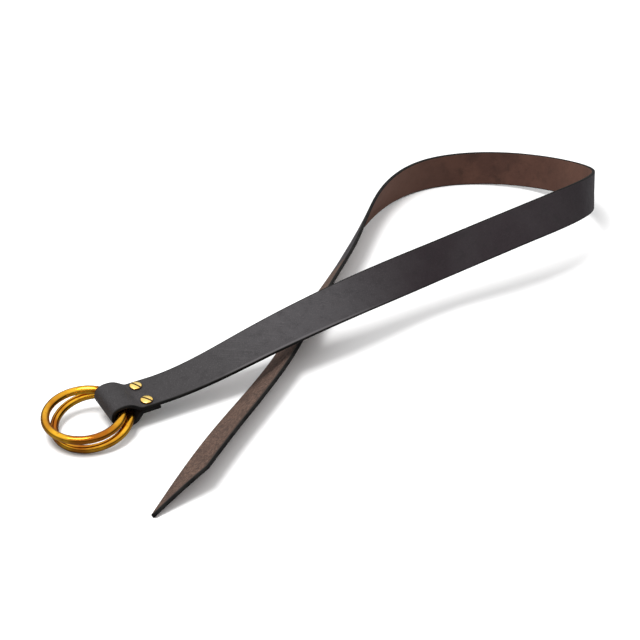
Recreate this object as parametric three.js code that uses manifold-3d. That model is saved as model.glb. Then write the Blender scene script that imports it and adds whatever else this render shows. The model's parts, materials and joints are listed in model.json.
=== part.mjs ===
// Leather strop: one long black strap folded round a pair of brass rings, the fold closed by two
// slotted screws in two posts. Millimetres, +Z up, +X along the strap away from the rings.
// The origin is the centre of the underside of the left post's cap; the strap leans a little there.
import * as THREE from 'three';
import Module from 'manifold-3d';
import { mergeVertices } from 'three/addons/utils/BufferGeometryUtils.js';

const wasm = await Module();
wasm.setup();

// ---- driving dimensions ----
const STRAP_WIDTH = 32;
const LEATHER = 2.8;
const EDGE_BEVEL = 0.5;
const GAP = 0.3;

const RING_BORE = 50;
const RING_WIRE = 6.4;

const HEAD_DIAMETER = 9.4;
const HEAD_HEIGHT = 1.6;
const HEAD_RIM = 0.7;
const SLOT_WIDTH = 1.5;
const SLOT_DEPTH = 0.8;
const SLOT_TURN_LEFT = -62;
const SLOT_TURN_RIGHT = -56;
const SHANK_DIAMETER = 2.94;
const SHANK_END_ROOM = 0.5;
const POST_BORE = 3.1;
const POST_DIAMETER = 4.9;
const POST_HOLE = POST_DIAMETER + 2 * GAP;
const POST_SHORT_OF_TOP = 0.1;
const CAP_DIAMETER = 9.4;
const CAP_THICKNESS = 1.4;
const BORE_FLOOR_ABOVE_CAP = 0.4;
const SCREW_SPACING = 19;
const BEVEL = 0.3;

// ---- heights above the ground at the screws, before the strap is rolled over ----
const FOLD_ROLL = 4.9;
const TOP_LAYER_Z = 18;
const LOW_LAYER_Z = TOP_LAYER_Z - LEATHER - GAP;
const STRAP_TOP = TOP_LAYER_Z + LEATHER / 2;
const STRAP_UNDER = LOW_LAYER_Z - LEATHER / 2;
const CAP_UNDER = STRAP_UNDER - GAP - CAP_THICKNESS;

// ---- the fold, seen from the side ----
const TURNED_END_X = 8.5;
const FLAT_END_X = 11;
const PINCH = 5;
// Knots of the fold's middle line, from the pinch under the screws round to the pinch above:
// the place, the way the line runs there, and how far it holds that way before and after.
const FOLD_KNOTS = [
  { place: [-PINCH, LOW_LAYER_Z], way: [-1, 0], before: 0, after: 3.4 },
  { place: [-15.5, 7.2], way: [-1, 0], before: 7.2, after: 8.1 },
  { place: [-29.4, 16.8], way: [0, 1], before: 5, after: 4.9 },
  { place: [-20.6, 24.4], way: [1, 0], before: 6.9, after: 8.1 },
  { place: [-PINCH, TOP_LAYER_Z], way: [1, 0], before: 4.8, after: 0 },
];

// Where the middle of the strap lies beyond the fold: x, y, height above the ground, and the
// lean of its width in degrees. 90 lies flat with the grain up, 0 stands on edge.
const LIE = [
  [FLAT_END_X, 0, TOP_LAYER_Z, 90 - FOLD_ROLL],
  [98.7, 0.2, 31.9, 73.3],
  [185.7, 3.4, 44.5, 54.1],
  [272.9, 11.9, 48.6, 33.6],
  [359.9, 9.1, 60.6, 38.5],
  [444.2, 29.6, 56, 18.5],
  [497, 92.8, 32.7, -8.3],
  [478.6, 174.5, 17.7, -12.1],
  [401.4, 209.9, 16.6, 1.4],
  [321.3, 177.6, 16.8, 16.8],
  [254.7, 117.4, 14.4, 31.5],
  [185.1, 56.5, 14.1, 38.9],
  [113.6, -6.2, 11.4, 49.5],
  [35.6, -63.9, 10.8, 55.4],
  [-38.9, -124, 11.3, 50],
];
const LIE_SPACING = 90;
const POINT_LENGTH = 37.5;
const POINT_BLUNT = 2.5;

// ---- where the rings lie: centre, pitch with the fold side up, and roll with the left side up ----
const RING_UPPER = { centre: [-46.1, -0.7, 17.2], pitch: 3.5, roll: 5.5 };
const RING_LOWER = { centre: [-40.2, -0.6, 9.2], pitch: 10.7, roll: 5.9 };

// ---- mesh fineness ----
const FOLD_STEPS = 44;
const LIE_STEPS = 150;
const POINT_STEPS = 6;
const ROUND = 32;
const RING_ROUND = 72;
const WIRE_ROUND = 16;
const DOME_STEPS = 3;

// ---- materials ----
const leather = new THREE.MeshStandardMaterial({ color: 0x2f2c2d, roughness: 0.55, metalness: 0 });
const ringBrass = new THREE.MeshStandardMaterial({ color: 0xd08a2a, roughness: 0.22, metalness: 1 });
const paleBrass = new THREE.MeshStandardMaterial({ color: 0xe2c878, roughness: 0.3, metalness: 1 });

// ---- geometry helpers ----
function toManifold(geometry) {
  const bare = new THREE.BufferGeometry();
  bare.setAttribute('position', geometry.getAttribute('position'));
  bare.setIndex(geometry.getIndex());
  const merged = mergeVertices(bare, 1e-4);
  const mesh = new wasm.Mesh({
    numProp: 3,
    vertProperties: new Float32Array(merged.getAttribute('position').array),
    triVerts: new Uint32Array(merged.getIndex().array),
  });
  return new wasm.Manifold(mesh);
}

function toGeometry(manifold) {
  const mesh = manifold.getMesh();
  const geometry = new THREE.BufferGeometry();
  geometry.setAttribute('position', new THREE.BufferAttribute(mesh.vertProperties, 3));
  geometry.setIndex(new THREE.BufferAttribute(mesh.triVerts, 1));
  geometry.computeVertexNormals();
  return geometry;
}

// Turns a profile of [radius, height] points about the Z axis.
function turned(profile) {
  const points = profile.map(([radius, height]) => new THREE.Vector2(radius, height));
  return new THREE.LatheGeometry(points, ROUND).rotateX(Math.PI / 2);
}

// A smooth curve through rows of numbers at even steps: level at its start, free at its end.
function smoothRows(rows, startSlope) {
  const last = rows.length - 1;
  const columns = rows[0].map((_, column) => {
    const value = rows.map((row) => row[column]);
    const upper = [0.5];
    const right = [3 * (value[1] - value[0] - startSlope[column])];
    for (let i = 1; i <= last; i += 1) {
      const target = i < last ? 3 * (value[i + 1] - 2 * value[i] + value[i - 1]) : 0;
      const lower = i < last ? 0.5 : 0;
      const pivot = 2 - lower * upper[i - 1];
      upper.push(i < last ? 0.5 / pivot : 0);
      right.push((target - lower * right[i - 1]) / pivot);
    }
    const bend = right.slice();
    for (let i = last - 1; i >= 0; i -= 1) bend[i] -= upper[i] * bend[i + 1];
    return { value, bend };
  });
  return (u) => {
    const place = Math.min(Math.max(u, 0), 1) * last;
    const i = Math.min(Math.floor(place), last - 1);
    const b = place - i;
    const a = 1 - b;
    return columns.map(({ value, bend }) => a * value[i] + b * value[i + 1]
      + ((a ** 3 - a) * bend[i] + (b ** 3 - b) * bend[i + 1]) / 6);
  };
}

// Rolls what is drawn square to the ground over to the way the strap leans at the screws.
const ROLL = new THREE.Matrix4().makeRotationX(THREE.MathUtils.degToRad(FOLD_ROLL));
ROLL.premultiply(new THREE.Matrix4().makeTranslation(0, 0, TOP_LAYER_Z));
ROLL.multiply(new THREE.Matrix4().makeTranslation(0, 0, -TOP_LAYER_Z));

// ---- the strap ----
const inSideView = (x, z) => new THREE.Vector3(x, 0, z);

// The fold's middle line, from the turned-back end round the nose to the end of the flat.
function foldPath() {
  const path = new THREE.CurvePath();
  const knots = FOLD_KNOTS.map(({ place, way, before, after }) => {
    const at = inSideView(...place);
    const run = inSideView(...way);
    const into = at.clone().addScaledVector(run, -before);
    const out = at.clone().addScaledVector(run, after);
    return { at, into, out };
  });
  path.add(new THREE.LineCurve3(inSideView(TURNED_END_X, LOW_LAYER_Z), knots[0].at));
  for (let i = 1; i < knots.length; i += 1) {
    const [from, to] = [knots[i - 1], knots[i]];
    path.add(new THREE.CubicBezierCurve3(from.at, from.out, to.into, to.at));
  }
  path.add(new THREE.LineCurve3(knots[knots.length - 1].at, inSideView(FLAT_END_X, TOP_LAYER_Z)));
  return path;
}

// One cross-section: its middle, the direction of its width, and its grain side.
function foldSections() {
  const path = foldPath();
  const across = new THREE.Vector3(0, 1, 0).transformDirection(ROLL);
  const sections = [];
  for (let i = 0; i < FOLD_STEPS; i += 1) {
    const u = i / FOLD_STEPS;
    const middle = path.getPointAt(u).applyMatrix4(ROLL);
    const grain = path.getTangentAt(u).transformDirection(ROLL).cross(across);
    sections.push({ middle, across, grain, left: STRAP_WIDTH / 2 });
  }
  return sections;
}

function lieSections() {
  const rowAt = smoothRows(LIE, [LIE_SPACING, 0, 0, 0]);
  const middleAt = (u) => new THREE.Vector3(...rowAt(u));
  const length = LIE_SPACING * (LIE.length - 1);
  const pointStart = 1 - POINT_LENGTH / length;
  const stops = [];
  for (let i = 0; i <= LIE_STEPS; i += 1) stops.push(pointStart * i / LIE_STEPS);
  for (let i = 1; i <= POINT_STEPS; i += 1) stops.push(pointStart + (1 - pointStart) * i / POINT_STEPS);
  return stops.map((u) => {
    const near = 1e-4;
    const along = middleAt(Math.min(u + near, 1)).sub(middleAt(Math.max(u - near, 0))).normalize();
    const upright = new THREE.Vector3(0, 0, 1).addScaledVector(along, -along.z).normalize();
    const leftward = upright.clone().cross(along);
    const lean = THREE.MathUtils.degToRad(rowAt(u)[3]);
    const across = upright.multiplyScalar(Math.cos(lean)).addScaledVector(leftward, Math.sin(lean));
    const toTip = Math.max(u - pointStart, 0) / (1 - pointStart);
    const left = STRAP_WIDTH / 2 - toTip * (STRAP_WIDTH - POINT_BLUNT);
    return { middle: middleAt(u), across, grain: along.cross(across), left };
  });
}

// The outline of a cross-section: a flat bar with its four corners taken off.
function sectionCorners({ middle, across, grain, left }) {
  const half = LEATHER / 2;
  const right = -STRAP_WIDTH / 2;
  const corners = [
    [left, half - EDGE_BEVEL], [left - EDGE_BEVEL, half],
    [right + EDGE_BEVEL, half], [right, half - EDGE_BEVEL],
    [right, EDGE_BEVEL - half], [right + EDGE_BEVEL, -half],
    [left - EDGE_BEVEL, -half], [left, EDGE_BEVEL - half],
  ];
  return corners.map(([y, z]) => middle.clone().addScaledVector(across, y).addScaledVector(grain, z));
}

function strapGeometry() {
  const rings = [...foldSections(), ...lieSections()].map(sectionCorners);
  const around = rings[0].length;
  const positions = rings.flat().flatMap((point) => point.toArray());
  const index = [];
  for (let i = 0; i < rings.length - 1; i += 1) {
    for (let j = 0; j < around; j += 1) {
      const a = i * around + j;
      const b = i * around + (j + 1) % around;
      index.push(a, b, a + around, b, b + around, a + around);
    }
  }
  const end = (rings.length - 1) * around;
  for (let j = 1; j < around - 1; j += 1) {
    index.push(0, j + 1, j);
    index.push(end, end + j, end + j + 1);
  }
  const geometry = new THREE.BufferGeometry();
  geometry.setAttribute('position', new THREE.Float32BufferAttribute(positions, 3));
  geometry.setIndex(index);
  return geometry;
}

function strapWithHoles() {
  const punch = new THREE.CylinderGeometry(POST_HOLE / 2, POST_HOLE / 2, 2 * STRAP_TOP, ROUND);
  punch.rotateX(Math.PI / 2);
  const holes = [SCREW_SPACING / 2, -SCREW_SPACING / 2].map((y) => {
    return toManifold(punch.clone().translate(0, y, STRAP_TOP).applyMatrix4(ROLL));
  });
  return toGeometry(toManifold(strapGeometry()).subtract(holes[0]).subtract(holes[1]));
}

// ---- the fasteners, each with its own zero on the underside of the cap ----
const POST_HEIGHT = STRAP_TOP - CAP_UNDER - POST_SHORT_OF_TOP;
const BORE_FLOOR = CAP_THICKNESS + BORE_FLOOR_ABOVE_CAP;
const SHANK_END = BORE_FLOOR + SHANK_END_ROOM;
const HEAD_UNDER = STRAP_TOP + GAP - CAP_UNDER;
const HEAD_TOP = HEAD_UNDER + HEAD_HEIGHT;

function postGeometry() {
  const cap = CAP_DIAMETER / 2;
  return turned([
    [0, 0], [cap - BEVEL, 0], [cap, BEVEL], [cap, CAP_THICKNESS - BEVEL], [cap - BEVEL, CAP_THICKNESS],
    [POST_DIAMETER / 2, CAP_THICKNESS], [POST_DIAMETER / 2, POST_HEIGHT],
    [POST_BORE / 2, POST_HEIGHT], [POST_BORE / 2, BORE_FLOOR], [0, BORE_FLOOR],
  ]);
}

function screwGeometry() {
  const shank = SHANK_DIAMETER / 2;
  const head = HEAD_DIAMETER / 2;
  const profile = [
    [0, SHANK_END], [shank - BEVEL, SHANK_END], [shank, SHANK_END + BEVEL], [shank, HEAD_UNDER],
    [head - BEVEL, HEAD_UNDER], [head, HEAD_UNDER + BEVEL],
  ];
  for (let i = 0; i < DOME_STEPS; i += 1) {
    const climb = (i / DOME_STEPS) * (Math.PI / 2);
    const rise = (HEAD_HEIGHT - HEAD_RIM) * Math.sin(climb);
    profile.push([head * Math.cos(climb), HEAD_UNDER + HEAD_RIM + rise]);
  }
  profile.push([0, HEAD_TOP]);
  const slot = new THREE.BoxGeometry(2 * HEAD_DIAMETER, SLOT_WIDTH, 2 * SLOT_DEPTH);
  slot.translate(0, 0, HEAD_TOP);
  return toGeometry(toManifold(turned(profile)).subtract(toManifold(slot)));
}

// ---- assembly ----
function piece(name, geometry, material) {
  const mesh = new THREE.Mesh(geometry, material);
  mesh.name = name;
  return mesh;
}

function ring(name, { centre, pitch, roll }) {
  const middleRadius = (RING_BORE + RING_WIRE) / 2;
  const geometry = new THREE.TorusGeometry(middleRadius, RING_WIRE / 2, WIRE_ROUND, RING_ROUND);
  const mesh = piece(name, geometry, ringBrass);
  mesh.position.set(...centre);
  mesh.rotation.set(THREE.MathUtils.degToRad(roll), -THREE.MathUtils.degToRad(pitch), 0, 'YXZ');
  return mesh;
}

function fastener(suffix, y, slotTurn) {
  const group = new THREE.Group();
  group.position.set(0, y, CAP_UNDER);
  group.applyMatrix4(ROLL);
  const screw = piece(`screw_${suffix}`, screwGeometry(), paleBrass);
  screw.rotation.z = THREE.MathUtils.degToRad(slotTurn);
  group.add(piece(`post_${suffix}`, postGeometry(), paleBrass), screw);
  return group;
}

const strop = new THREE.Group();
strop.name = 'leather_strop';
strop.position.set(0, SCREW_SPACING / 2, CAP_UNDER).applyMatrix4(ROLL).negate();
strop.add(piece('strap', strapWithHoles(), leather));
strop.add(ring('ring_upper', RING_UPPER));
strop.add(ring('ring_lower', RING_LOWER));
strop.add(fastener('left', SCREW_SPACING / 2, SLOT_TURN_LEFT));
strop.add(fastener('right', -SCREW_SPACING / 2, SLOT_TURN_RIGHT));

export default strop;
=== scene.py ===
"""Looks of the leather strop: a black strap with a brown flesh side, two brass rings in its fold,
and two slotted post screws. Blender 4.5, metres, in the CAD part's own frame."""

import json
import math

import bmesh
import bpy
import numpy as np
from mathutils import Matrix, Vector


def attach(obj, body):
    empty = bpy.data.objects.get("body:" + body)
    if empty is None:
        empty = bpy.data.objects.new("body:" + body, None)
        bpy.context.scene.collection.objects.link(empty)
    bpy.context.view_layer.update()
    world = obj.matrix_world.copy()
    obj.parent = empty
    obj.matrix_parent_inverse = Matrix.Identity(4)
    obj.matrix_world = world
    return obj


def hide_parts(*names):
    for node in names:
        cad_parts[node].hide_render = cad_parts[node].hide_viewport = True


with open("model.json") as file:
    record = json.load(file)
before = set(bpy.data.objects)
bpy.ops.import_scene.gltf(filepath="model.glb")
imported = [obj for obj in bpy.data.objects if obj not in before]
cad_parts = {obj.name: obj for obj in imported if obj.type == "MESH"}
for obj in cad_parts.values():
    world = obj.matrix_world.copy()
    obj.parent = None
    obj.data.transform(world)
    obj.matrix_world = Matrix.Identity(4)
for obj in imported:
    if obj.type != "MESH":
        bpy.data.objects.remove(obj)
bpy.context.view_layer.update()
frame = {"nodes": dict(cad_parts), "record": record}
MM = 0.001

# ---- dimensions in mm, as the CAD part has them ----
STRAP_WIDTH = 32.0
LEATHER = 2.8
GAP = 0.3
RING_WIRE = 6.4
CAP_RADIUS = 4.7
CAP_THICKNESS = 1.4
POST_RADIUS = 2.45
SHANK_RADIUS = 1.47
BORE_RADIUS = 1.55
HEAD_RADIUS = 4.7
HEAD_HEIGHT = 1.6
HEAD_RIM = 0.7
SLOT_WIDTH = 1.5
SLOT_DEPTH = 0.8
SLOT_TURNS = {"left": -62, "right": -56}  # degrees
CAP_FLAT = 2.2  # half width of the flat in the middle of a cap
CAP_ROUND = 0.3
POST_SHORT = 0.1  # how far a post stops short of the head
BORE_FLOOR = 0.4
SHANK_END = 0.9
SHANK_CHAMFER = 0.3
HEAD_ROUND = 0.2
FOLD_ROLL = 4.9  # degrees
TOP_LAYER_Z = 18.0
LOW_LAYER_Z = TOP_LAYER_Z - LEATHER - GAP
CAP_UNDER = LOW_LAYER_Z - LEATHER / 2 - GAP - CAP_THICKNESS
TURNED_END_X = 8.5
FLAT_END_X = 11.0
PINCH = 5.0
# place, way the line runs, how far it holds that way before and after
FOLD_KNOTS = [
    ((-PINCH, LOW_LAYER_Z), (-1, 0), 0, 3.4),
    ((-15.5, 7.2), (-1, 0), 7.2, 8.1),
    ((-29.4, 16.8), (0, 1), 5, 4.9),
    ((-20.6, 24.4), (1, 0), 6.9, 8.1),
    ((-PINCH, TOP_LAYER_Z), (1, 0), 4.8, 0),
]
# x, y, height above the ground, lean of the width in degrees (90 flat, 0 on edge)
LIE = [
    (FLAT_END_X, 0, TOP_LAYER_Z, 90 - FOLD_ROLL),
    (98.7, 0.2, 31.9, 73.3),
    (185.7, 3.4, 44.5, 54.1),
    (272.9, 11.9, 48.6, 33.6),
    (359.9, 9.1, 60.6, 38.5),
    (444.2, 29.6, 56, 18.5),
    (497, 92.8, 32.7, -8.3),
    (478.6, 174.5, 17.7, -12.1),
    (401.4, 209.9, 16.6, 1.4),
    (321.3, 177.6, 16.8, 16.8),
    (254.7, 117.4, 14.4, 31.5),
    (185.1, 56.5, 14.1, 38.9),
    (113.6, -6.2, 11.4, 49.5),
    (35.6, -63.9, 10.8, 55.4),
    (-38.9, -124, 11.3, 50),
]
LIE_SPACING = 90.0
POINT_LENGTH = 37.5
POINT_BLUNT = 2.5
HOLE_RADIUS = 2.75
SUEDE_FROM = 0.738  # share of the lie where the outer side's black finish stops

# ---- how finely the pieces are meshed, and how uneven they are, in mm ----
FACE_COLUMNS = 18
FOLD_POINTS = 200  # between two knots, before the points are spaced evenly
PUNCH_SIDES = 64
CORNER_POINTS = 4
EDGE_CROWN = 0.12
GRAIN_ROUND = 0.55
FLESH_ROUND = 0.55
STEP = 1.0
WIDTH_WAVER = 0.05
WAVER_LENGTHS = (310.0, 170.0, 83.0, 41.0)
SUEDE_RAGGED = 1.1
RING_TURNS = 240
RING_SIDES = 48
WIRE_SLACK = 0.04
# reach, waves round the ring, waves round the wire
WIRE_WAVES = ((0.03, 3, 0), (0.02, 7, 2), (0.012, 13, -1))
FASTENER_SIDES = 96
SOFT_EDGE = 0.12
SOFT_FROM = 38  # degrees between faces
SHARP_FROM = 50
DOME_FALL = 0.55
SLOT_SHADE_DEPTH = 0.45
SLOT_SHADE_SIDE = 0.05
SLOT_SHADE_UNDER = 0.1

# ---- camera, light and studio, in metres, degrees and watts ----
CAMERA_AT = (-0.35384, -0.85238, 0.60810)
CAMERA_AZIMUTH = 31.128
CAMERA_DOWN = 30.763
CAMERA_SENSOR = 36.0  # mm
CAMERA_LENS = 82.31625  # mm
CAMERA_CLIP = (0.01, 50.0)
KEY_AT = (-0.40, -0.12, 1.6)
KEY_TARGET = (0.22, 0.03, 0)
KEY_SIZE = 0.6
KEY_POWER = 22
CEILING = {"From Min": 0.05, "From Max": 0.70, "To Min": 0.08, "To Max": 1.20}
FLOOR_REACH = 12.0
FLOOR_BELOW = 0.0002

# ---- the frame of the strap, set by the undersides of the two posts' caps ----
CAP_FACES = {mount["name"]: mount for mount in frame["record"]["mounts"]}
LEFT_CAP = Vector(CAP_FACES["left_cap_face"]["pos_m"])
RIGHT_CAP = Vector(CAP_FACES["right_cap_face"]["pos_m"])
POST_UP = -Vector(CAP_FACES["left_cap_face"]["axis"])
ROLL = Matrix.Rotation(math.radians(FOLD_ROLL), 3, "X")
TOP_LAYER_MIDDLE = (LEFT_CAP + RIGHT_CAP) / 2 + POST_UP * (TOP_LAYER_Z - CAP_UNDER) * MM
STRAP_ORIGIN = TOP_LAYER_MIDDLE - Vector((0, 0, TOP_LAYER_Z * MM))
GROUND = STRAP_ORIGIN.z


# ---- node helpers ----
class Nodes:
    """A material's node tree, with short calls to add nodes and join them."""

    def __init__(self, name):
        self.material = bpy.data.materials.new(name)
        self.material.use_nodes = True
        self.tree = self.material.node_tree
        self.shader = self.tree.nodes["Principled BSDF"]

    def add(self, kind, inputs=None, **settings):
        node = self.tree.nodes.new("ShaderNode" + kind)
        for key, value in settings.items():
            setattr(node, key, value)
        for key, value in (inputs or {}).items():
            self.feed(node.inputs[key], value)
        return node

    def feed(self, socket, value):
        if isinstance(value, bpy.types.NodeSocket):
            self.tree.links.new(value, socket)
        elif isinstance(value, (tuple, list)) and len(value) == 3 and len(socket.default_value) == 4:
            socket.default_value = (*value, 1.0)
        else:
            socket.default_value = value

    def value(self, name):
        return self.add("Attribute", attribute_name=name).outputs["Fac"]

    def object_point(self):
        return self.add("TexCoord").outputs["Object"]

    def math(self, operation, a, b):
        return self.add("Math", {0: a, 1: b}, operation=operation).outputs[0]

    def product(self, a, b):
        return self.math("MULTIPLY", a, b)

    def point(self, x, y=0.0):
        return self.add("CombineXYZ", {"X": x, "Y": y}).outputs[0]

    def noise(self, vector, scale, detail=4.0, roughness=0.55):
        inputs = {"Vector": vector, "Scale": scale, "Detail": detail, "Roughness": roughness}
        return self.add("TexNoise", inputs).outputs["Fac"]

    def cells(self, vector, scale):
        return self.add("TexVoronoi", {"Vector": vector, "Scale": scale}).outputs["Distance"]

    def span(self, value, low, high, to_low=0.0, to_high=1.0):
        """A smooth step from to_low to to_high as value goes from low to high, which may be lower."""
        inputs = {"Value": value, "From Min": low, "From Max": high, "To Min": to_low, "To Max": to_high}
        return self.add("MapRange", inputs, interpolation_type="SMOOTHSTEP").outputs["Result"]

    def mix(self, amount, a, b):
        """The colour a, turning to b as amount goes from 0 to 1."""
        return self.add("Mix", {0: amount, 6: a, 7: b}, data_type="RGBA").outputs[2]

    def bump(self, height, distance, strength, normal=None):
        inputs = {"Height": height, "Distance": distance, "Strength": strength}
        if normal is not None:
            inputs["Normal"] = normal
        return self.add("Bump", inputs).outputs["Normal"]

    def finish(self, **inputs):
        for key, value in inputs.items():
            self.feed(self.shader.inputs[key.replace("_", " ")], value)
        return self.material


# ---- leather ----
# The strap's points carry, in metres: along, from the end of the flat at the screws (below 0 in the
# fold); across, from the middle line; inset, from the nearer edge; from_left, from the left edge;
# around, round the cross-section.
def black_grain():
    """Black dyed grain side: matt and faintly mottled, with pores, long pulls and slanted scuffs.

    It has a painted sheen, paler a little way out from the screws, with a painted highlight along
    the right edge's bevel there, and a little more painted sheen round the far turn."""
    n = Nodes("black_grain")
    point = n.object_point()
    along, across = n.value("along"), n.value("across")
    cloud = n.noise(point, 28.0, 3.0)
    blotch = n.noise(point, 130.0, 5.0, 0.65)
    # painted sheen: the grain is paler a little way out from the screws, where the strap's tilt catches the
    # light
    painted_sheen = n.product(n.span(along, 0.04, 0.12), n.span(along, 0.25, 0.14))
    deep = n.mix(n.span(along, 0.12, 0.24), (0.0225, 0.0205, 0.0215), (0.0150, 0.0088, 0.0118))
    # painted sheen: the grain is a little paler round the far turn
    turn = n.product(n.span(along, 0.425, 0.465), n.span(along, 0.56, 0.50))
    deep = n.mix(turn, deep, (0.034, 0.027, 0.031))
    tone = n.mix(painted_sheen, deep, (0.0390, 0.0355, 0.0385))
    tone = n.mix(n.span(cloud, 0.3, 0.7, 0.0, 0.30), tone, (0.036, 0.032, 0.034))
    tone = n.mix(n.span(blotch, 0.48, 0.74, 0.0, 0.45), tone, (0.012, 0.0105, 0.0115))
    pores = n.cells(point, 1300.0)
    speckle = n.noise(point, 1300.0, 3.0)
    near_half = n.span(along, 0.26, 0.16, 0.15, 0.70)
    speckle = n.product(n.span(speckle, 0.52, 0.70), near_half)
    tone = n.mix(speckle, tone, (0.062, 0.057, 0.060))
    drawn = n.point(n.product(along, 14.0), n.product(across, 520.0))
    pulls = n.noise(drawn, 1.0, 3.0)
    slant = n.point(
        n.math("ADD", n.product(along, 900.0), n.product(across, 1100.0)),
        n.product(along, 26.0),
    )
    scratch = n.span(n.noise(slant, 0.8, 4.0, 0.7), 0.54, 0.66)
    handled = n.product(n.span(along, 0.03, 0.08), n.span(along, 0.22, 0.14))
    scratch = n.product(scratch, n.product(handled, n.span(cloud, 0.42, 0.58)))
    tone = n.mix(n.product(scratch, 0.32), tone, (0.110, 0.103, 0.107))
    tone = n.mix(n.span(n.value("inset"), 0.0013, 0.0006), tone, (0.007, 0.006, 0.0065))
    # painted highlight: a pale line along the right edge's bevel, near the screws
    painted_bevel_highlight = n.product(handled, n.span(n.value("from_left"), 0.0294, 0.0304))
    tone = n.mix(n.product(painted_bevel_highlight, 0.55), tone, (0.105, 0.098, 0.102))
    rough = n.math("ADD", n.span(blotch, 0.30, 0.70, 0.52, 0.66), n.product(scratch, 0.1))
    normal = n.bump(pores, 0.00008, 0.7)
    normal = n.bump(n.noise(point, 420.0, 5.0, 0.65), 0.00022, 0.6, normal)
    normal = n.bump(pulls, 0.00010, 0.30, normal)
    normal = n.bump(scratch, -0.00005, 0.8, normal)
    return n.finish(
        Base_Color=tone,
        Roughness=rough,
        Specular_IOR_Level=0.26,
        Sheen_Weight=0.04,
        Sheen_Roughness=0.45,
        Normal=normal,
    )


def edge_bleed(n, point, reach):
    """How far the edges' black dye has crept on to a face: 1 at the edge, 0 further in."""
    creep = n.product(n.noise(point, 260.0, 3.0), reach)
    return n.span(n.value("inset"), n.product(creep, 2.0), 0.0)


def brown_flesh():
    """The loop's inner face: flesh side slicked down, brown with darker clouds and short fibres."""
    n = Nodes("brown_flesh")
    point = n.object_point()
    along, across = n.value("along"), n.value("across")
    cloud = n.noise(point, 22.0, 4.0, 0.6)
    patch = n.noise(point, 95.0, 4.0, 0.65)
    tone = n.mix(n.span(cloud, 0.3, 0.7), (0.058, 0.025, 0.018), (0.094, 0.042, 0.029))
    tone = n.mix(n.span(patch, 0.45, 0.75, 0.0, 0.65), tone, (0.038, 0.019, 0.014))
    drawn = n.point(n.product(along, 260.0), n.product(across, 1500.0))
    fibre = n.noise(drawn, 1.0, 5.0, 0.7)
    tone = n.mix(n.span(fibre, 0.56, 0.78, 0.0, 0.35), tone, (0.165, 0.098, 0.070))
    paler = n.math("MAXIMUM", n.span(along, 0.66, 0.77), n.span(along, 0.60, 0.54, 0.0, 0.35))
    tone = n.mix(n.product(paler, 0.80), tone, (0.185, 0.098, 0.072))
    tone = n.mix(edge_bleed(n, point, 0.0011), tone, (0.018, 0.016, 0.015))
    # painted shade: the flesh turns near black in the fold and for the first few centimetres past it
    tone = n.mix(n.span(along, 0.045, 0.012), tone, (0.013, 0.0115, 0.011))
    normal = n.bump(fibre, 0.00012, 0.5)
    normal = n.bump(n.noise(point, 900.0, 4.0), 0.00012, 0.5, normal)
    return n.finish(
        Base_Color=tone,
        Roughness=n.span(patch, 0.3, 0.7, 0.66, 0.82),
        Specular_IOR_Level=0.22,
        Sheen_Weight=0.08,
        Sheen_Roughness=0.5,
        Sheen_Tint=(0.85, 0.50, 0.36),
        Normal=normal,
    )


def brown_suede():
    """The tail's outer face: rough brown suede, mottled, with loose fibres and dark specks."""
    n = Nodes("brown_suede")
    point = n.object_point()
    along, across = n.value("along"), n.value("across")
    cloud = n.noise(point, 60.0, 4.0, 0.6)
    clump = n.noise(point, 380.0, 5.0, 0.68)
    tone = n.mix(n.span(cloud, 0.3, 0.7), (0.066, 0.037, 0.027), (0.108, 0.062, 0.045))
    tone = n.mix(n.span(clump, 0.44, 0.62, 0.0, 0.85), tone, (0.036, 0.020, 0.015))
    grit = n.noise(point, 620.0, 3.0, 0.7)
    tone = n.mix(n.span(grit, 0.52, 0.62, 0.0, 0.85), tone, (0.022, 0.013, 0.011))
    tone = n.mix(n.span(grit, 0.43, 0.34, 0.0, 0.60), tone, (0.23, 0.150, 0.115))
    drawn = n.point(n.product(along, 420.0), n.product(across, 1300.0))
    fibre = n.noise(drawn, 1.0, 6.0, 0.75)
    tone = n.mix(n.span(fibre, 0.58, 0.76, 0.0, 0.40), tone, (0.20, 0.125, 0.092))
    rim = n.span(n.value("from_left"), 0.0036, 0.0016)
    tone = n.mix(n.product(rim, 0.85), tone, (0.020, 0.0145, 0.012))
    tone = n.mix(edge_bleed(n, point, 0.0010), tone, (0.014, 0.012, 0.011))
    normal = n.bump(clump, 0.00035, 0.7)
    normal = n.bump(fibre, 0.00025, 0.7, normal)
    return n.finish(
        Base_Color=tone,
        Roughness=0.9,
        Specular_IOR_Level=0.2,
        Sheen_Weight=0.08,
        Sheen_Roughness=0.6,
        Sheen_Tint=(0.9, 0.70, 0.58),
        Normal=normal,
    )


def black_edge():
    """Dyed and burnished edges: near black, a little polished, with faint lengthwise layers."""
    n = Nodes("black_edge")
    point = n.object_point()
    along, around = n.value("along"), n.value("around")
    drawn = n.point(n.product(along, 55.0), n.product(around, 2600.0))
    layers = n.noise(drawn, 1.0, 4.0, 0.6)
    cloud = n.noise(point, 120.0, 3.0)
    tone = n.mix(n.span(cloud, 0.35, 0.7), (0.004, 0.0038, 0.0036), (0.011, 0.0103, 0.0095))
    tone = n.mix(n.span(layers, 0.60, 0.82, 0.0, 0.3), tone, (0.055, 0.042, 0.034))
    normal = n.bump(layers, 0.00008, 0.5)
    normal = n.bump(n.noise(point, 700.0, 3.0), 0.00006, 0.4, normal)
    return n.finish(
        Base_Color=tone,
        Roughness=n.span(layers, 0.3, 0.7, 0.50, 0.64),
        Specular_IOR_Level=0.14,
        Normal=normal,
    )


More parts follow.
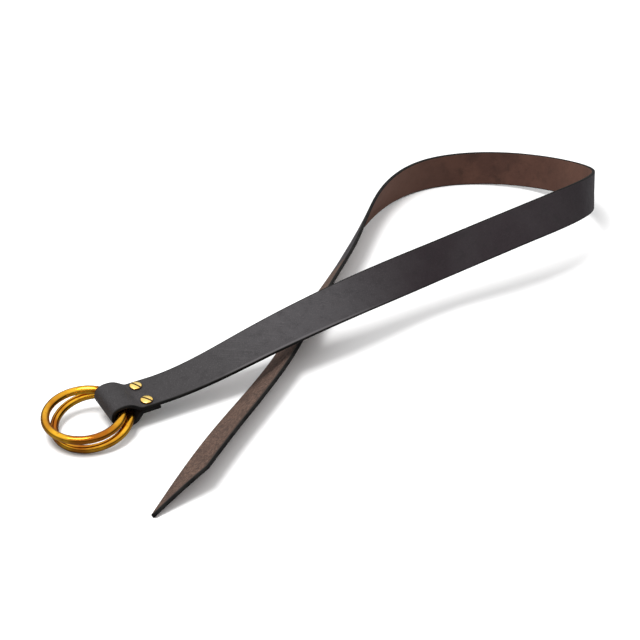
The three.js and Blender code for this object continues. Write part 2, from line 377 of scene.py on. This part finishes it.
# ---- brass ----
def ring_brass():
    """Polished orange-gold brass, a little uneven in tone, with small darker rubbed spots."""
    n = Nodes("ring_brass")
    point = n.object_point()
    cloud = n.noise(point, 26.0, 3.0, 0.5)
    tone = n.mix(n.span(cloud, 0.40, 0.60), (0.40, 0.125, 0.012), (0.86, 0.46, 0.032))
    stain = n.noise(point, 200.0, 4.0, 0.6)
    tone = n.mix(n.span(stain, 0.52, 0.74, 0.0, 0.55), tone, (0.36, 0.11, 0.010))
    return n.finish(
        Base_Color=tone,
        Metallic=1.0,
        Roughness=n.span(stain, 0.35, 0.75, 0.13, 0.20),
        Normal=n.bump(n.noise(point, 45.0, 2.0), 0.0004, 0.15),
    )


def pale_brass():
    """Pale lathe-turned brass of the screws and posts: fine turning rings, painted shade round the rims and
    in the dull slot.
    """
    n = Nodes("pale_brass")
    point = n.object_point()
    cloud = n.noise(point, 300.0, 3.0)
    deep = n.span(n.value("deep"), 0.0, 0.4)
    tone = n.mix(n.span(cloud, 0.3, 0.7), (0.92, 0.63, 0.16), (0.97, 0.75, 0.27))
    # painted shade: dark brown round the outer rims of the heads and caps
    tone = n.mix(n.span(n.value("radial"), 0.0041, 0.0046), tone, (0.22, 0.10, 0.016))
    turning = n.noise(n.point(n.product(n.value("radial"), 9000.0)), 1.0, 2.0)
    # painted shade: near black on the walls and floor of the driver slot
    tone = n.mix(deep, tone, (0.036, 0.014, 0.004))
    return n.finish(
        Base_Color=tone,
        Metallic=n.span(deep, 0.0, 1.0, 1.0, 0.3),
        Roughness=n.math("ADD", n.span(cloud, 0.3, 0.7, 0.19, 0.27), n.product(deep, 0.3)),
        Normal=n.bump(turning, 0.00002, 0.4),
    )


# ---- curves ----
def smooth_rows(rows, start_slope):
    """Cubic spline through rows at even steps, with a set slope at its start and free at its end."""
    value = np.array(rows, float)
    last = len(value) - 1
    upper = np.zeros(last + 1)
    right = np.zeros_like(value)
    upper[0] = 0.5
    right[0] = 3 * (value[1] - value[0] - start_slope)
    for i in range(1, last + 1):
        inner = i < last
        target = 3 * (value[i + 1] - 2 * value[i] + value[i - 1]) if inner else 0.0
        lower = 0.5 if inner else 0.0
        pivot = 2 - lower * upper[i - 1]
        upper[i] = 0.5 / pivot if inner else 0.0
        right[i] = (target - lower * right[i - 1]) / pivot
    bend = right.copy()
    for i in range(last - 1, -1, -1):
        bend[i] -= upper[i] * bend[i + 1]

    def at(u):
        place = np.clip(u, 0, 1) * last
        i = np.minimum(place.astype(int), last - 1)
        b = (place - i)[:, None]
        a = 1 - b
        return a * value[i] + b * value[i + 1] + ((a**3 - a) * bend[i] + (b**3 - b) * bend[i + 1]) / 6

    return at


def fold_line(step):
    """Points of the fold's middle line in the side view, at even steps of length."""
    knots = [
        (np.array(place, float), np.array(way, float), before, after)
        for place, way, before, after in FOLD_KNOTS
    ]
    dense = [np.array([[TURNED_END_X, LOW_LAYER_Z]])]
    t = np.linspace(0, 1, FOLD_POINTS)[:, None]
    for (a, way_a, _, out), (b, way_b, into, _) in zip(knots, knots[1:]):
        c, d = a + way_a * out, b - way_b * into
        s = 1 - t
        dense.append(s**3 * a + 3 * s**2 * t * c + 3 * s * t * t * d + t**3 * b)
    dense.append(np.array([[FLAT_END_X, TOP_LAYER_Z]]))
    line = np.vstack(dense)
    travelled = np.r_[0, np.cumsum(np.linalg.norm(np.diff(line, axis=0), axis=1))]
    line = line[np.r_[True, np.diff(travelled) > 1e-9]]
    travelled = travelled[np.r_[True, np.diff(travelled) > 1e-9]]
    even = np.linspace(0, travelled[-1], int(travelled[-1] / step) + 1)
    return np.c_[np.interp(even, travelled, line[:, 0]), np.interp(even, travelled, line[:, 1])], even


def fold_sections(step):
    """Middle points, ways across, ways out of the grain face, left reaches and lengths in the fold."""
    line, travelled = fold_line(step)
    way = np.gradient(line, axis=0)
    way /= np.linalg.norm(way, axis=1)[:, None]
    roll = np.array(ROLL)
    pivot = np.array([0.0, 0.0, TOP_LAYER_Z])
    middle = (np.c_[line[:, 0], np.zeros(len(line)), line[:, 1]] - pivot) @ roll.T + pivot
    along = np.c_[way[:, 0], np.zeros(len(line)), way[:, 1]] @ roll.T
    across = np.tile(roll[:, 1], (len(line), 1))
    return middle, across, np.cross(along, across), np.full(len(line), STRAP_WIDTH / 2), travelled


def lie_sections(step):
    """As fold_sections, for the strap as it lies beyond the fold, with the share of its length last."""
    row_at = smooth_rows(LIE, np.array([LIE_SPACING, 0, 0, 0]))
    length = LIE_SPACING * (len(LIE) - 1)
    point_start = 1 - POINT_LENGTH / length
    u = np.r_[
        np.linspace(0, point_start, int(length * point_start / step)),
        np.linspace(point_start, 1, int(POINT_LENGTH / step))[1:],
    ]
    near = 1e-4
    rows = row_at(u)
    along = row_at(np.minimum(u + near, 1))[:, :3] - row_at(np.maximum(u - near, 0))[:, :3]
    along /= np.linalg.norm(along, axis=1)[:, None]
    upright = np.array([0, 0, 1.0]) - along[:, 2:3] * along
    upright /= np.linalg.norm(upright, axis=1)[:, None]
    leftward = np.cross(upright, along)
    lean = np.radians(rows[:, 3])[:, None]
    across = np.cos(lean) * upright + np.sin(lean) * leftward
    to_tip = np.maximum(u - point_start, 0) / (1 - point_start)
    left = STRAP_WIDTH / 2 - to_tip * (STRAP_WIDTH - POINT_BLUNT)
    middle = rows[:, :3]
    travelled = np.r_[0, np.cumsum(np.linalg.norm(np.diff(middle, axis=0), axis=1))]
    return middle, across, np.cross(along, across), left, travelled, u


# ---- mesh helpers ----
def arc(centre_x, centre_z, reach_x, reach_z, start, end, steps):
    """Points of an elliptical arc from start to end degrees."""
    angles = np.radians(np.linspace(start, end, steps + 1))
    return [(centre_x + reach_x * math.cos(a), centre_z + reach_z * math.sin(a)) for a in angles]


def set_point_values(mesh, attributes):
    for key, values in attributes.items():
        layer = mesh.attributes.new(key, "FLOAT", "POINT")
        layer.data.foreach_set("value", np.asarray(values, np.float32))


def new_piece(node, verts, faces, body, materials):
    """A smooth mesh piece that rides on a body and stands for the CAD node it is named after."""
    mesh = bpy.data.meshes.new(f"strop_{node}")
    mesh.from_pydata([tuple(v) for v in verts], [], faces)
    mesh.update()
    for material in materials:
        mesh.materials.append(material)
    mesh.polygons.foreach_set("use_smooth", [True] * len(mesh.polygons))
    piece = bpy.data.objects.new(f"strop_{node}", mesh)
    bpy.context.scene.collection.objects.link(piece)
    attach(piece, body)
    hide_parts(node)
    return piece


# ---- the strap ----
GRAIN, LEFT_EDGE, FLESH, RIGHT_EDGE = range(4)  # parts of the strap's cross-section
GRAIN_SLOT, FLESH_SLOT, EDGE_SLOT, SUEDE_SLOT = range(4)  # places in the strap's list of materials


def bar_outline(left):
    """The strap's cross-section, as places across it, heights above its middle and kinds of face.

    It starts on the grain face at the right edge and runs left, down the left edge, back along the
    flesh face and up the right edge."""
    half, right = LEATHER / 2, -STRAP_WIDTH / 2
    flesh_z = FLESH_ROUND - half
    grain_z = half - GRAIN_ROUND

    def corner(y, z, radius, start, end, kind):
        turn = arc(y, z, radius, radius, start, end, CORNER_POINTS)
        return [(across, height, kind) for across, height in turn]

    across_grain = np.linspace(right + GRAIN_ROUND, left - GRAIN_ROUND, FACE_COLUMNS)
    across_flesh = np.linspace(left - FLESH_ROUND, right + FLESH_ROUND, FACE_COLUMNS)
    outline = [(y, half, GRAIN) for y in across_grain]
    outline += corner(left - GRAIN_ROUND, grain_z, GRAIN_ROUND, 90, 0, LEFT_EDGE)[1:]
    outline.append((left + EDGE_CROWN, 0.0, LEFT_EDGE))
    outline += corner(left - FLESH_ROUND, flesh_z, FLESH_ROUND, 0, -90, LEFT_EDGE)[:-1]
    outline += [(y, -half, FLESH) for y in across_flesh]
    outline += corner(right + FLESH_ROUND, flesh_z, FLESH_ROUND, -90, -180, RIGHT_EDGE)[1:]
    outline.append((right - EDGE_CROWN, 0.0, RIGHT_EDGE))
    outline += corner(right + GRAIN_ROUND, grain_z, GRAIN_ROUND, 180, 90, RIGHT_EDGE)[:-1]
    return outline


def waver(travelled, seed, reach):
    """A slow hand-cut wander along the strap."""
    rng = np.random.default_rng(seed)
    total = np.zeros_like(travelled)
    for length in WAVER_LENGTHS:
        wave = np.sin(2 * math.pi * (travelled / length + rng.random()))
        total += wave * (length / WAVER_LENGTHS[0]) ** 0.7
    return reach * total


def strap_mesh():
    """Vertices in metres, faces, each face's material slot and each point's attributes."""
    fold_middle, fold_across, fold_grain, fold_left, fold_run = fold_sections(STEP)
    lie_middle, lie_across, lie_grain, lie_left, lie_run, lie_share = lie_sections(STEP)
    middle = np.vstack([fold_middle[:-1], lie_middle])
    across = np.vstack([fold_across[:-1], lie_across])
    grain = np.vstack([fold_grain[:-1], lie_grain])
    left = np.r_[fold_left[:-1], lie_left]
    run = np.r_[fold_run[:-1] - fold_run[-1], lie_run]
    share = np.r_[np.full(len(fold_left) - 1, -1.0), lie_share]
    count = len(middle)
    width_waver = waver(run, seed=5, reach=WIDTH_WAVER)
    verts, along, over, inset, from_left, around = [], [], [], [], [], []
    kinds = [kind for _, _, kind in bar_outline(STRAP_WIDTH / 2)]
    for i in range(count):
        outline = bar_outline(left[i])
        previous, length = outline[0], 0.0
        for y, z, _ in outline:
            length += math.hypot(y - previous[0], z - previous[1])
            previous = (y, z)
            shift = width_waver[i] if y > 0 else -width_waver[i]
            verts.append(middle[i] + across[i] * (y + shift) + grain[i] * z)
            along.append(run[i] * MM)
            over.append(y * MM)
            inset.append(max(0.0, min(left[i] - y, y + STRAP_WIDTH / 2)) * MM)
            from_left.append((left[i] - y) * MM)
            around.append(length * MM)
    ring = len(kinds)
    faces, picks = [], []
    lie_length = LIE_SPACING * (len(LIE) - 1)
    ragged = np.random.default_rng(21).normal(0.0, SUEDE_RAGGED, ring) / lie_length
    for i in range(count - 1):
        for j in range(ring):
            k = (j + 1) % ring
            outer_is_suede = share[i] > SUEDE_FROM + ragged[j]
            faces.append((i * ring + j, i * ring + k, (i + 1) * ring + k, (i + 1) * ring + j))
            if kinds[j] == kinds[k] == GRAIN:
                picks.append(SUEDE_SLOT if outer_is_suede else GRAIN_SLOT)
            elif kinds[j] == kinds[k] == FLESH:
                picks.append(FLESH_SLOT)
            else:
                picks.append(EDGE_SLOT)
    end = (count - 1) * ring
    faces.append(tuple(range(ring - 1, -1, -1)))
    faces.append(tuple(end + j for j in range(ring)))
    picks += [EDGE_SLOT, EDGE_SLOT]
    verts = np.array(verts) * MM + np.array(STRAP_ORIGIN)
    attributes = {
        "along": along,
        "across": over,
        "inset": inset,
        "from_left": from_left,
        "around": around,
    }
    return verts, faces, picks, attributes


def scratch_object(name, bm):
    """A plain object made from a bmesh, for use as a cutting tool."""
    mesh = bpy.data.meshes.new(name)
    bm.to_mesh(mesh)
    bm.free()
    tool = bpy.data.objects.new(name, mesh)
    bpy.context.scene.collection.objects.link(tool)
    return tool


def apply_modifier(piece, modifier):
    """Make a modifier's result the piece's own mesh."""
    with bpy.context.temp_override(object=piece, active_object=piece):
        bpy.ops.object.modifier_apply(modifier=modifier.name)


def cut_away(piece, tool):
    """Cut a tool out of a piece, and remove the tool."""
    cut = piece.modifiers.new("cut", "BOOLEAN")
    cut.operation = "DIFFERENCE"
    cut.solver = "EXACT"
    cut.object = tool
    apply_modifier(piece, cut)
    bpy.data.objects.remove(tool)


def punch(cap):
    """A long round punch on a post's axis."""
    reach = 2 * TOP_LAYER_Z * MM
    bm = bmesh.new()
    radius = HOLE_RADIUS * MM
    bmesh.ops.create_cone(
        bm, cap_ends=True, segments=PUNCH_SIDES, radius1=radius, radius2=radius, depth=reach
    )
    bmesh.ops.rotate(bm, verts=bm.verts, matrix=ROLL)
    bmesh.ops.translate(bm, verts=bm.verts, vec=cap)
    return scratch_object("punch", bm)


def build_strap():
    verts, faces, picks, attributes = strap_mesh()
    materials = [black_grain(), brown_flesh(), black_edge(), brown_suede()]
    piece = new_piece("strap", verts, faces, "strap", materials)
    piece.data.polygons.foreach_set("material_index", picks)
    set_point_values(piece.data, attributes)
    for cap in (LEFT_CAP, RIGHT_CAP):
        cut_away(piece, punch(cap))


# ---- the rings ----
def ring_frame(node):
    """A CAD ring's centre, two ways in its plane, its upward axis and its middle radius, in metres."""
    points = np.array([v.co for v in frame["nodes"][node].data.vertices], float)
    centre = points.mean(0)
    _, _, (ahead, _, up) = np.linalg.svd(points - centre, full_matrices=False)
    if up[2] < 0:
        up = -up
    aside = np.cross(up, ahead)
    outer = sum(np.abs((points - centre) @ way).max() for way in (ahead, aside)) / 2
    return centre, ahead, aside, up, outer - RING_WIRE * MM / 2


def build_ring(node, material, seed):
    """A round-wire ring in the CAD ring's own place, its wire a little uneven as cast rings are."""
    centre, ahead, aside, up, radius = ring_frame(node)
    phases = np.random.default_rng(seed).random(len(WIRE_WAVES)) * 2 * math.pi
    verts = []
    for i in range(RING_TURNS):
        a = 2 * math.pi * i / RING_TURNS
        out = ahead * math.cos(a) + aside * math.sin(a)
        for j in range(RING_SIDES):
            b = 2 * math.pi * j / RING_SIDES
            wave = 0.0
            for (reach, along_ring, round_wire), phase in zip(WIRE_WAVES, phases):
                wave += reach * math.sin(along_ring * a + round_wire * b + phase)
            r = (RING_WIRE / 2 - WIRE_SLACK + wave) * MM
            verts.append(centre + out * (radius + r * math.cos(b)) + up * (r * math.sin(b)))
    faces = []
    for i in range(RING_TURNS):
        for j in range(RING_SIDES):
            row, next_row = i * RING_SIDES, (i + 1) % RING_TURNS * RING_SIDES
            next_j = (j + 1) % RING_SIDES
            faces.append((row + j, next_row + j, next_row + next_j, row + next_j))
    new_piece(node, verts, faces, node, [material])


# ---- the fasteners ----
def turned(profile, sides):
    """Vertices and faces of a profile of (radius, height) turned about Z, closed at both ends."""
    verts, faces = [], []
    rows = []
    for radius, height in profile:
        if radius < 1e-9:
            rows.append([len(verts)])
            verts.append((0.0, 0.0, height))
            continue
        rows.append(list(range(len(verts), len(verts) + sides)))
        for k in range(sides):
            a = 2 * math.pi * k / sides
            verts.append((radius * math.cos(a), radius * math.sin(a), height))
    for low, high in zip(rows, rows[1:]):
        for k in range(sides):
            k2 = (k + 1) % sides
            if len(low) == 1:
                faces.append((low[0], high[k2], high[k]))
            elif len(high) == 1:
                faces.append((low[k], low[k2], high[0]))
            else:
                faces.append((low[k], low[k2], high[k2], high[k]))
    return verts, faces


def slot_tool(angle, top):
    """A bar across a head, sunk to the slot's depth, for cutting the driver slot."""
    bm = bmesh.new()
    bmesh.ops.create_cube(bm, size=1.0)
    bmesh.ops.scale(bm, verts=bm.verts, vec=(4 * HEAD_RADIUS, SLOT_WIDTH, 2 * SLOT_DEPTH))
    bmesh.ops.translate(bm, verts=bm.verts, vec=(0, 0, top))
    bmesh.ops.rotate(bm, verts=bm.verts, matrix=Matrix.Rotation(angle, 3, "Z"))
    return scratch_object("slot", bm)


def slot_depths(points, angle, top):
    """How deep in the driver slot each point lies: 0 on the head's surface, 1 well down."""
    off = np.abs(-math.sin(angle) * points[:, 0] + math.cos(angle) * points[:, 1])
    surface = top - DOME_FALL * (np.hypot(points[:, 0], points[:, 1]) / HEAD_RADIUS) ** 2
    inside = (off < SLOT_WIDTH / 2 + SLOT_SHADE_SIDE) * (points[:, 2] > top - SLOT_DEPTH - SLOT_SHADE_UNDER)
    return np.clip((surface - points[:, 2]) / SLOT_SHADE_DEPTH, 0, 1) * inside


def build_fastener(node, body, material, cap, profile, slot=None):
    """A turned brass piece standing on a cap's place. slot is a driver slot's angle and top height."""
    verts, faces = turned(profile, FASTENER_SIDES)
    piece = new_piece(node, verts, faces, body, [material])
    if slot:
        cut_away(piece, slot_tool(*slot))
    soften = piece.modifiers.new("soften", "BEVEL")
    soften.width = SOFT_EDGE
    soften.segments = 3
    soften.limit_method = "ANGLE"
    soften.angle_limit = math.radians(SOFT_FROM)
    apply_modifier(piece, soften)
    mesh = piece.data
    points = np.array([v.co for v in mesh.vertices], float)
    deep = slot_depths(points, *slot) if slot else np.zeros(len(points))
    set_point_values(mesh, {"radial": np.hypot(points[:, 0], points[:, 1]) * MM, "deep": deep})
    for vertex, place in zip(mesh.vertices, points * MM @ np.array(ROLL).T + np.array(cap)):
        vertex.co = place
    mesh.polygons.foreach_set("use_smooth", [True] * len(mesh.polygons))
    mesh.update()
    mesh.set_sharp_from_angle(angle=math.radians(SHARP_FROM))


HEAD_UNDER = CAP_THICKNESS + GAP + 2 * LEATHER + GAP + GAP
HEAD_TOP = HEAD_UNDER + HEAD_HEIGHT


def post_profile():
    """A post with its cap, hollow from the top, as (radius, height) from the cap's underside."""
    top = HEAD_UNDER - GAP - POST_SHORT
    floor = CAP_THICKNESS + BORE_FLOOR
    rim = CAP_RADIUS - CAP_ROUND
    return (
        [(0.0, 0.0), (CAP_FLAT, 0.0)]
        + arc(rim, CAP_ROUND, CAP_ROUND, CAP_ROUND, -90, 0, 5)
        + arc(rim, CAP_THICKNESS - CAP_ROUND, CAP_ROUND, CAP_ROUND, 0, 90, 5)
        + [(POST_RADIUS, CAP_THICKNESS), (POST_RADIUS, top), (BORE_RADIUS, top)]
        + [(BORE_RADIUS, floor), (0.0, floor)]
    )


def screw_profile():
    """A screw with its domed head, as (radius, height) from the underside of its post's cap."""
    end = CAP_THICKNESS + SHANK_END
    return (
        [(0.0, end), (SHANK_RADIUS - SHANK_CHAMFER, end), (SHANK_RADIUS, end + SHANK_CHAMFER)]
        + [(SHANK_RADIUS, HEAD_UNDER)]
        + arc(HEAD_RADIUS - HEAD_ROUND, HEAD_UNDER + HEAD_ROUND, HEAD_ROUND, HEAD_ROUND, -90, 0, 4)
        + arc(0.0, HEAD_UNDER + HEAD_RIM, HEAD_RADIUS, HEAD_HEIGHT - HEAD_RIM, 0, 90, 16)[:-1]
        + [(0.0, HEAD_TOP)]
    )


def build_pieces():
    build_strap()
    ring_material = ring_brass()
    build_ring("ring_upper", ring_material, seed=3)
    build_ring("ring_lower", ring_material, seed=8)
    fastener_material = pale_brass()
    for side, cap in (("left", LEFT_CAP), ("right", RIGHT_CAP)):
        post, screw = f"post_{side}", f"screw_{side}"
        slot = (math.radians(SLOT_TURNS[side]), HEAD_TOP)
        build_fastener(post, "strap", fastener_material, cap, post_profile())
        build_fastener(screw, screw, fastener_material, cap, screw_profile(), slot)


# ---- stage, light and camera ----
def floor_material():
    """White paper to the eye, and a greyer studio table to whatever is reflected or lit by it."""
    n = Nodes("pale_floor")
    cloud = n.noise(n.object_point(), 3.0, 2.0)
    paper = n.mix(cloud, (0.90, 0.90, 0.90), (0.92, 0.92, 0.92))
    ray = n.add("LightPath").outputs
    table = n.mix(ray["Is Glossy Ray"], (0.34, 0.34, 0.35), (0.20, 0.20, 0.21))
    tone = n.mix(ray["Is Camera Ray"], table, paper)
    return n.finish(Base_Color=tone, Roughness=0.8, Specular_IOR_Level=0.1)


def build_floor():
    z = GROUND - FLOOR_BELOW
    corners = [(x * FLOOR_REACH, y * FLOOR_REACH, z) for x, y in ((-1, -1), (1, -1), (1, 1), (-1, 1))]
    mesh = bpy.data.meshes.new("floor")
    mesh.from_pydata(corners, [], [(0, 1, 2, 3)])
    mesh.materials.append(floor_material())
    floor = bpy.data.objects.new("floor", mesh)
    bpy.context.scene.collection.objects.link(floor)


def build_key_light():
    data = bpy.data.lights.new("key", "AREA")
    data.shape = "RECTANGLE"
    data.size = data.size_y = KEY_SIZE
    data.energy = KEY_POWER
    light = bpy.data.objects.new("key", data)
    light.location = KEY_AT
    way = Vector(KEY_TARGET) - Vector(KEY_AT)
    light.rotation_euler = way.to_track_quat("-Z", "Y").to_euler()
    bpy.context.scene.collection.objects.link(light)


def build_camera():
    """The view of the object from the rings' end, about 31 degrees above the ground."""
    data = bpy.data.cameras.new("camera")
    data.sensor_width = CAMERA_SENSOR
    data.lens = CAMERA_LENS
    data.clip_start, data.clip_end = CAMERA_CLIP
    camera = bpy.data.objects.new("camera", data)
    camera.location = CAMERA_AT
    azimuth, down = math.radians(CAMERA_AZIMUTH), math.radians(CAMERA_DOWN)
    level = math.cos(down)
    way = Vector((math.sin(azimuth) * level, math.cos(azimuth) * level, -math.sin(down)))
    camera.rotation_euler = way.to_track_quat("-Z", "Y").to_euler()
    bpy.context.scene.collection.objects.link(camera)
    bpy.context.scene.camera = camera


def build_world():
    """A bright studio ceiling that darkens towards the horizon, and plain white to the eye."""
    world = bpy.data.worlds.new("studio")
    bpy.context.scene.world = world
    world.use_nodes = True
    tree = world.node_tree
    direction = tree.nodes.new("ShaderNodeTexCoord")
    height = tree.nodes.new("ShaderNodeSeparateXYZ")
    ramp = tree.nodes.new("ShaderNodeMapRange")
    ramp.interpolation_type = "SMOOTHSTEP"
    for name, value in CEILING.items():
        ramp.inputs[name].default_value = value
    seen = tree.nodes.new("ShaderNodeLightPath")
    strength = tree.nodes.new("ShaderNodeMix")
    strength.inputs["B"].default_value = 1.0
    background = tree.nodes["Background"]
    background.inputs["Color"].default_value = (1.0, 1.0, 1.0, 1.0)
    tree.links.new(direction.outputs["Generated"], height.inputs["Vector"])
    tree.links.new(height.outputs["Z"], ramp.inputs["Value"])
    tree.links.new(seen.outputs["Is Camera Ray"], strength.inputs["Factor"])
    tree.links.new(ramp.outputs["Result"], strength.inputs["A"])
    tree.links.new(strength.outputs["Result"], background.inputs["Strength"])


build_pieces()
build_world()
build_floor()
build_key_light()
build_camera()
bpy.context.scene.view_settings.view_transform = "Standard"

bpy.context.view_layer.update()
